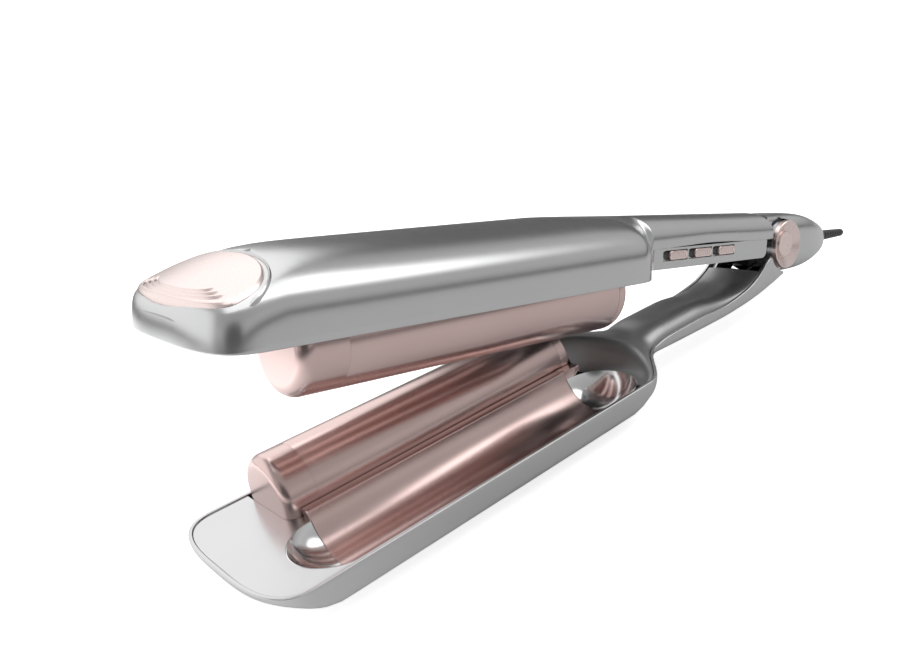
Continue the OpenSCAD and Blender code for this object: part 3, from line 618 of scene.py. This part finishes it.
def barrel_end(name, body, place, x0, way, length, edge, node):
    """A rounded end of a barrel, spun round the barrel's own line."""
    bm = bmesh.new()
    profile = [(x0, BARREL_R), (x0 + way * 0.2, BARREL_R)]
    for i in range(17):
        a = math.pi / 2 * i / 16
        profile.append((x0 + way * (length - edge + edge * math.sin(a)),
                        BARREL_R - edge + edge * math.cos(a)))
    profile += [(x0 + way * length, 0.0), (x0 + way * (length - PLATE), 0.0),
                (x0 + way * (length - PLATE), BARREL_R - edge),
                (x0 + way * (length - edge), BARREL_R - PLATE),
                (x0, BARREL_R - PLATE), (x0, BARREL_R)]
    turned(bm, [(x, 0, r) for x, r in profile], (1, 0, 0), steps=120)
    bm.transform(Matrix.Translation((0, OFFSET, BARREL_Z)))
    bmesh.ops.bisect_plane(bm, geom=bm.verts[:] + bm.edges[:] + bm.faces[:],
                           plane_co=(0, 0, DECK_Z - CAP_SKIRT), plane_no=(0, 0, -1),
                           clear_outer=True)
    fill_holes(bm)
    piece(bm, name, body, ROSE, place, (node,))


def scoop(name, x0, way):
    """A polished quarter ball that closes one end of the trough."""
    bm = bmesh.new()
    start = -math.pi / 2
    top = -math.asin((TROUGH_Z - DECK_Z) / TROUGH_R)
    turns = [start + (top - start) * i / 40 for i in range(41)]
    profile = [(r * math.cos(a), r * math.sin(a))
               for r, order in ((TROUGH_R, 1), (TROUGH_R + SCOOP_WALL, -1))
               for a in turns[::order]]
    turned(bm, [(0, r, z) for r, z in profile], (0, 0, 1), angle=way * math.pi, steps=72)
    fill_holes(bm)
    bm.transform(Matrix.Translation((x0, -OFFSET, TROUGH_Z)))
    piece(bm, name, "lower_arm", SCOOP, LOWER, ("lower_scoops",))


lower_rear = BARREL_X1 - REAR_LOW_CAP
barrel_sleeve("lower_barrel_sleeve", "lower_arm", LOWER, "lower_plate", lower_rear)
barrel_end("lower_barrel_rear", "lower_arm", LOWER, lower_rear, 1, REAR_LOW_CAP, REAR_LOW_EDGE,
           "lower_plate")
bm = block(TROUGH_X1 - 0.4, BARREL_X1, -2, OFFSET - BARREL_R - GAP, LAND_Z - LAND_THICK, LAND_Z)
soften(bm, 0.3)
land_end = piece(bm, "land_end", "lower_arm", ROSE, LOWER, ("lower_plate",))
cut(land_end, ball(), REAR_BALL)
trough_tray("lower_trough_tray", "lower_arm", LOWER, "lower_plate")
barrel_sleeve("upper_barrel_sleeve", "upper_arm", UPPER @ FLIP, "upper_plate",
              REAR_UP - REAR_CAP)
trough_tray("upper_trough_tray", "upper_arm", UPPER @ FLIP, "upper_plate")
barrel_end("lower_barrel_front", "lower_arm", LOWER, BARREL_X0, -1, BARREL_X0 - FRONT_LOW,
           CAP_EDGE, "lower_front_cap")
barrel_end("upper_barrel_front", "upper_arm", UPPER @ FLIP, BARREL_X0, -1,
           BARREL_X0 - FRONT_UP, CAP_EDGE, "upper_end_caps")
barrel_end("upper_barrel_rear", "upper_arm", UPPER @ FLIP, REAR_UP - REAR_CAP, 1, REAR_CAP,
           CAP_EDGE, "upper_end_caps")
scoop("front_scoop", TROUGH_X0 - 0.1, 1)
scoop("rear_scoop", TROUGH_X1 + 0.1, -1)


# ---------------------------------------------------------------- thumb pad

def nose_ring(x, y):
    """How far a plan point of the nose lies from the outline toward the spine, 0 to 1."""
    spine = TIP_UP + SPINE
    if x >= spine:
        return 1 - abs(y) / HALF_UP
    low, high = 0.0, 1.0
    for _ in range(18):
        mid = (low + high) / 2
        px, py = spine + (x - spine) / (1 - mid), abs(y) / (1 - mid)
        if px < TIP_UP or (px < TIP_UP + NOSE and ((TIP_UP + NOSE - px) / NOSE) ** NOSE_POWER_UP
                           + (py / HALF_UP) ** NOSE_POWER_UP > 1) or py > HALF_UP:
            high = mid
        else:
            low = mid
    return low


def nose_skin(x, y):
    """Height of the casing under a plan point of the pad."""
    x = max(TIP_UP + 0.5, x)
    wall = nose_wall(x)
    top = CROWN - wall
    return RIM_UP + wall + softmin(top * dome(nose_ring(x, y), 2.5), nose_ramp(x, y) - wall)


PAD_X, PAD_FRONT, PAD_REAR, PAD_B, PAD_POWER = TIP_UP + 8.6, 7.7, 11.8, 26.0, 2.35
PAD_LIFT, PAD_EDGE, PAD_ROUND = 0.58, 0.955, 0.045
GROOVES, GROOVE_DEPTH, GROOVE_WIDTH = (0.62, 0.73, 0.84), 0.55, 0.025


def pad_top(r, a):
    """A point of the pad's face, r from 0 in the middle to 1 at the edge."""
    c, d = (math.copysign(abs(f(a)) ** (2 / PAD_POWER), f(a)) for f in (math.cos, math.sin))
    x, y = PAD_X + (PAD_REAR if c > 0 else PAD_FRONT) * r * c, PAD_B * r * d
    dip = 0.0
    front = step3((-math.cos(a) - 0.15) / 0.25)
    for groove in GROOVES:
        dip = max(dip, GROOVE_DEPTH * front * math.exp(-((r - groove) / GROOVE_WIDTH) ** 2))
    lift = PAD_LIFT * (1 - max(0.0, (r - PAD_EDGE) / PAD_ROUND) ** 2)
    return (x, y, nose_skin(x, y) + lift + 0.02 - dip)


bm = bmesh.new()
sheet(bm, 160, 90, lambda u, v: pad_top(v, 2 * math.pi * u))
for v in extruded(bm, bm.faces[:]):
    v.co.z = nose_skin(v.co.x, v.co.y) - 0.2
piece(bm, "thumb_pad_plate", "upper_arm", ROSE_TRIM, UPPER, ("thumb_pad",))


def pad_bead(u, v):
    """A low bead of the casing round the rear of the pad."""
    r, a, hill = 1.035 + 0.07 * v, 2 * math.pi * u, math.sin(math.pi * v)
    x, y, _ = pad_top(r, a)
    return (x, y, nose_skin(x, y) - 0.7 + 1.2 * hill * step3((math.cos(a) + 0.1) / 0.3))


bm = bmesh.new()
sheet(bm, 160, 8, pad_bead)
fill_holes(bm, sides=12)
for v in extruded(bm, bm.faces[:]):
    v.co.z -= 0.3
piece(bm, "thumb_pad_surround", "upper_arm", SILVER, UPPER, ())


# ---------------------------------------------------------------- hinge

HUB_R, DISC_R, DISC_Y0, DISC_Y1 = 5.2, 9.6, 11.7, 13.9
DISH_DEPTH, HUB_DEPTH = 1.68, 1.1


def hinge_disc(side, name):
    """A dished disc with a small flat hub, at one end of the pin."""
    r0, r1, y0, y1 = HUB_R, DISC_R, DISC_Y0, DISC_Y1
    profile = [(0, y0), (r1 - 0.2, y0), (r1, y0 + 0.2), (r1, y1 - 0.25), (r1 - 0.25, y1),
               (r1 - 0.45, y1), (r1 - 0.6, y1 - 0.1), (r0 + 0.2, y1 - DISH_DEPTH),
               (r0, y1 - DISH_DEPTH), (r0 - 0.15, y1 - 1.2), (r0 - 0.35, y1 - HUB_DEPTH),
               (0, y1 - HUB_DEPTH)]
    bm = bmesh.new()
    turned(bm, [(r, side * y, 0) for r, y in profile], (0, 1, 0), steps=128)
    piece(bm, name, "lower_arm", ROSE_TRIM, LOWER, ("hinge_discs",), smooth=20)


hinge_disc(-1, "near_hinge_disc")
hinge_disc(1, "far_hinge_disc")


# ---------------------------------------------------------------- buttons

BUTTON_X, BUTTON_PITCH, BUTTON_Y, BUTTON_Z = -73.1, 14.9, -12.7, 0.95
BUTTON_LONG, BUTTON_TALL, BUTTON_CORNER = 5.2, 1.55, 1.3
RIBS, RIB_PITCH, RIB_TALL = 7, 1.2, 0.9
FLANGE_LONG, FLANGE_TALL = 6, 2.25
# the dark wedges placed by these measures paint the shadow at the front end of each button
SHADOW_X, SHADOW_LONG, SHADOW_TALL, SHADOW_FRONT, SHADOW_BACK = -78.5, 3.0, 1.5, -12.2, -11.4


def push_button(i, name):
    """A pill-shaped button face with upright ribs, and the flange that holds it in."""
    x, y0, z = BUTTON_X + BUTTON_PITCH * i, BUTTON_Y, BUTTON_Z
    bm = bmesh.new()
    bar(bm, x - BUTTON_LONG, x + BUTTON_LONG, y0 - 0.5, y0 + 2.3, z - BUTTON_TALL, z + BUTTON_TALL)
    along = [e for e in bm.edges if abs(e.verts[0].co.y - e.verts[1].co.y) > 1]
    round_edges(bm, along, BUTTON_CORNER, 8)
    soften(bm, 0.3)
    for k in range(RIBS):
        bar(bm, x - 3.75 + RIB_PITCH * k, x - 3.45 + RIB_PITCH * k, y0 - 0.55, y0 - 0.3,
            z - RIB_TALL, z + RIB_TALL)
    bar(bm, x - FLANGE_LONG, x + FLANGE_LONG, y0 + 2.1, y0 + 2.9, z - FLANGE_TALL, z + FLANGE_TALL)
    piece(bm, f"{name}_button_face", f"button_{name}", ROSE_TRIM, UPPER @ STRIP,
          (f"button_{i + 1}",))


for i, name in enumerate(("front", "middle", "rear")):
    push_button(i, name)

# dark pointed wedge in front of each button, a painted shadow of the button
bm = bmesh.new()
for i in range(3):
    x = SHADOW_X + BUTTON_PITCH * i
    wedge = bmesh.ops.create_circle(bm, cap_ends=True, segments=3, radius=1)["verts"]
    for v, (dx, dz) in zip(wedge, ((0.0, -SHADOW_TALL), (0.0, SHADOW_TALL), (-SHADOW_LONG, 0.0))):
        v.co = (x + dx, SHADOW_FRONT, BUTTON_Z + dz)
    for v in extruded(bm, list({f for v in wedge for f in v.link_faces})):
        v.co.y = SHADOW_BACK
piece(bm, "button_painted_shadows", "upper_arm", DARK, UPPER @ STRIP, ())


# ---------------------------------------------------------------- cord end

HOUSE_FRONT, HOUSE_LENGTH, HOUSE_END = -9, 55, 46
HOUSE_HALF_Y, HOUSE_HALF_Z, HOUSE_THIN, HOUSE_MID_Z = 13.13, 12.1, 0.02, -0.2
TAPER_FROM, TAPER_LENGTH, TAPER_POWER = 10, 38, 2.2
SWIVEL = UPPER @ Matrix.Translation((0, 0, COLLAR_Z))


def house_scale(x):
    """The housing's size along its length, against its front end."""
    if x < TAPER_FROM:
        return 1.0
    return (1 - ((x - TAPER_FROM) / TAPER_LENGTH) ** TAPER_POWER) ** (1 / TAPER_POWER)


def house(u, v):
    """The bullet-shaped rear housing: a rounded square in front, round behind."""
    x = HOUSE_FRONT + HOUSE_LENGTH * (1 - (1 - u) ** 1.4) if u < 0.98 else HOUSE_END
    a, f = 2 * math.pi * v, house_scale(x)
    q = 2 / (3.6 - 1.3 * step3((x - 8) / 30))

    def bent(c):
        return math.copysign(abs(c) ** q, c)

    zc = HOUSE_MID_Z + (COLLAR_Z - HOUSE_MID_Z) * step3((x - 5) / 40)
    return (x, HOUSE_HALF_Y * f * bent(math.cos(a)),
            zc + (HOUSE_HALF_Z - HOUSE_THIN * x) * f * bent(math.sin(a)))


bm = bmesh.new()
sheet(bm, 70, 160, house)
fill_holes(bm)
housing = piece(bm, "rear_housing_skin", "upper_arm", SILVER, UPPER, ("rear_housing",))
cut(housing, rod(KNUCKLE_ROOM, 128, Matrix.Rotation(math.pi / 2, 4, "X")), UPPER)
for side in (-1, 1):
    y0, y1 = sorted((side * FORK_SIDE, side * 20))
    cut(housing, block(-20, 0, y0, y1, -30, 30), UPPER)
cut(housing, block(-20, 0, -20, 20, -30, FORK_TOP), UPPER)
cut(housing, rod(SOCKET_R, 96, Matrix.Translation((40, 0, COLLAR_Z))
                 @ Matrix.Rotation(math.pi / 2, 4, "Y")), UPPER)


def swivel_piece(name, profile, finish_of, node):
    """A turned piece on the swivel's own line, from (x, radius) points."""
    bm = bmesh.new()
    turned(bm, [(x, 0, r) for x, r in profile], (1, 0, 0))
    piece(bm, name, "cord_swivel", finish_of, SWIVEL, (node,))


swivel_piece("swivel_ring",
             [(27.4, 1.8), (27.4, 4.6), (29.8, 4.6), (29.8, 3.35), (36.8, 3.35), (36.8, 4.5),
              (47.0, 4.5), (47.35, 4.4), (47.6, 4.1), (47.6, 1.8), (27.4, 1.8)],
             DARK, "swivel_collar")

# the bend relief tapers and has a shallow double groove every six steps
BOOT_X, BOOT_R, BOOT_LENGTH, BOOT_TAPER, BOOT_STEPS, BOOT_GROOVE = 48.4, 2.5, 25, 0.8, 60, 0.22
boot = [(47.6, 1.2), (47.6, 3.1), (48.1, 3.1), (BOOT_X, 2.9), (BOOT_X, BOOT_R)]
for i in range(1, BOOT_STEPS):
    groove = BOOT_GROOVE if (i % 6) in (3, 4) and 4 < i < 52 else 0.0
    boot.append((BOOT_X + BOOT_LENGTH * i / BOOT_STEPS,
                 BOOT_R - BOOT_TAPER * i / BOOT_STEPS - groove))
boot += [(73.2, 1.7), (73.4, 1.5), (73.4, 1.2), (47.6, 1.2)]
swivel_piece("cord_relief", boot, RUBBER, "cord_boot")


# ---------------------------------------------------------------- camera, floor and light

CAMERA_SPOT = Vector((-300.194, -180.281, 94.9985))
CAMERA_RIGHT = Vector((0.747308, -0.639767, -0.179521))
CAMERA_DOWN = Vector((-0.338833, -0.134495, -0.931184))
CAMERA_AHEAD = Vector((0.571596, 0.756709, -0.317283))
LENS, SENSOR, NEAREST = 32.2012, 36, 0.01

FLOOR_HALF, FLOOR_GLOW_SEEN = 8, 0.75
SIDE_SPOT, SIDE_GLOW, SIDE_FULL, SIDE_END = (-0.42, 0.34, 0), 1.3, 0.2, 0.5
FLOOR_BRIGHT, FLOOR_DARK, DARK_FROM, DARK_TO = 0.75, 0.1, 0.32, 0.75

# patches of the sky: direction, full and fading radius in degrees, brightness
SKY = [((0.73, 0.66, 0.14), 16, 31, 0.10), ((0.57, -0.30, 0.76), 10, 24, 2.7),
       ((0.22, 0.80, 0.56), 15, 27, 1.35), ((-0.60, 0.76, 0.22), 25, 42, 1.2),
       ((-0.76, -0.62, 0.05), 16, 38, 0.10)]
# brightness of the sky round them, from straight down (0) to straight up (1)
SKY_STOPS = [(0.0, 0.2), (0.49, 0.2), (0.52, 0.45), (0.62, 0.6), (0.72, 0.5), (0.85, 0.45),
             (1.0, 0.4)]
SKY_SEEN = 1.2

cam_data = bpy.data.cameras.new("camera")
cam = add("camera", cam_data)
cam_data.sensor_width = SENSOR
cam_data.lens = LENS
cam_data.clip_start = NEAREST
cam.matrix_world = (Matrix.Translation((CAMERA_SPOT + SHIFT) * MM)
                    @ Matrix((CAMERA_RIGHT, -CAMERA_DOWN, -CAMERA_AHEAD)).transposed().to_4x4())
bpy.context.scene.camera = cam


def vector_math(tree, operation, source, other=None):
    """One value worked out from a vector."""
    node = tree.nodes.new("ShaderNodeVectorMath")
    node.operation = operation
    if other is not None:
        node.inputs[1].default_value = other
    tree.links.new(source, node.inputs[0])
    return node.outputs["Value"]


def larger(tree, a, b):
    """The larger of two values."""
    node = tree.nodes.new("ShaderNodeMath")
    node.operation = "MAXIMUM"
    tree.links.new(a, node.inputs[0])
    tree.links.new(b, node.inputs[1])
    return node.outputs["Value"]


# pale floor that shows white to the camera; to reflections it shows a painted pool of light that
# darkens outward into painted shade, with one glowing spot to the side, a painted patch of light
floor_mesh = bpy.data.meshes.new("floor")
bm = bmesh.new()
bmesh.ops.create_grid(bm, x_segments=1, y_segments=1, size=FLOOR_HALF)
bm.to_mesh(floor_mesh)
bm.free()
floor_finish = finish("pale_floor", (0.80, 0.80, 0.80), (0.82, 0.82, 0.82), 0.0, 0.8, bump=0.0,
                      specular=0.0)
tree = floor_finish.node_tree
shader = tree.nodes["Principled BSDF"]
shader.inputs["Emission Color"].default_value = (1, 1, 1, 1)
seen = tree.nodes.new("ShaderNodeLightPath").outputs["Is Camera Ray"]
place = tree.nodes.new("ShaderNodeTexCoord").outputs["Object"]
side_glow = value_map(tree, vector_math(tree, "DISTANCE", place, SIDE_SPOT), SIDE_GLOW, 0.0,
                      SIDE_FULL, SIDE_END)
tree.links.new(larger(tree, side_glow, value_map(tree, seen, 0.0, FLOOR_GLOW_SEEN)),
               shader.inputs["Emission Strength"])
bright = value_map(tree, vector_math(tree, "LENGTH", place), FLOOR_BRIGHT, FLOOR_DARK,
                   DARK_FROM, DARK_TO)
shade = tree.nodes.new("ShaderNodeMix")
shade.data_type = "RGBA"
shade.inputs["A"].default_value = (0, 0, 0, 1)
tree.links.new(larger(tree, bright, seen), shade.inputs["Factor"])
tree.links.new(shader.inputs["Base Color"].links[0].from_socket, shade.inputs["B"])
tree.links.new(shade.outputs["Result"], shader.inputs["Base Color"])
floor_mesh.materials.append(floor_finish)
floor = add("floor", floor_mesh)


def glow(tree, source, toward, inner, outer, value, amount):
    """A soft round patch of the sky around one direction."""
    patch = tree.nodes.new("ShaderNodeMapRange")
    patch.interpolation_type = "SMOOTHSTEP"
    patch.inputs["From Min"].default_value = math.cos(math.radians(outer))
    patch.inputs["From Max"].default_value = math.cos(math.radians(inner))
    tree.links.new(vector_math(tree, "DOT_PRODUCT", source, Vector(toward).normalized()),
                   patch.inputs["Value"])
    mix = tree.nodes.new("ShaderNodeMix")
    mix.inputs["B"].default_value = amount
    tree.links.new(patch.outputs["Result"], mix.inputs["Factor"])
    tree.links.new(value, mix.inputs["A"])
    return mix.outputs["Result"]


world = bpy.data.worlds.new("studio")
bpy.context.scene.world = world
world.use_nodes = True
tree = world.node_tree
back = tree.nodes["Background"]
coord = tree.nodes.new("ShaderNodeTexCoord").outputs["Generated"]
split = tree.nodes.new("ShaderNodeSeparateXYZ")
tree.links.new(coord, split.inputs["Vector"])
ramp = tree.nodes.new("ShaderNodeValToRGB")
while len(ramp.color_ramp.elements) < len(SKY_STOPS):
    ramp.color_ramp.elements.new(0.5)
for stop, (at, grey) in zip(ramp.color_ramp.elements, SKY_STOPS):
    stop.position, stop.color = at, (grey, grey, grey, 1)
tree.links.new(value_map(tree, split.outputs["Z"], 0, 1, -1, 1), ramp.inputs["Fac"])
level = ramp.outputs["Color"]
for toward, inner, outer, amount in SKY:
    level = glow(tree, coord, toward, inner, outer, level, amount)
sky_path = tree.nodes.new("ShaderNodeLightPath")
sky_seen = tree.nodes.new("ShaderNodeMix")
sky_seen.inputs["B"].default_value = SKY_SEEN
tree.links.new(sky_path.outputs["Is Camera Ray"], sky_seen.inputs["Factor"])
tree.links.new(level, sky_seen.inputs["A"])
tree.links.new(sky_seen.outputs["Result"], back.inputs["Strength"])
back.inputs["Color"].default_value = (1, 1, 1, 1)

bpy.context.scene.view_settings.view_transform = "Standard"

LAMP_SIDE, LAMP_POWER, LAMP_PLACE = 2.0, 16, Vector((0.1, 0.1, 1.9))
lamp_data = bpy.data.lights.new("top_box", "AREA")
lamp_data.shape, lamp_data.energy = "RECTANGLE", LAMP_POWER
lamp_data.size, lamp_data.size_y = LAMP_SIDE, LAMP_SIDE
lamp = add("top_box", lamp_data)
lamp.location = LAMP_PLACE
lamp.rotation_euler = (-LAMP_PLACE).to_track_quat("-Z", "Y").to_euler()
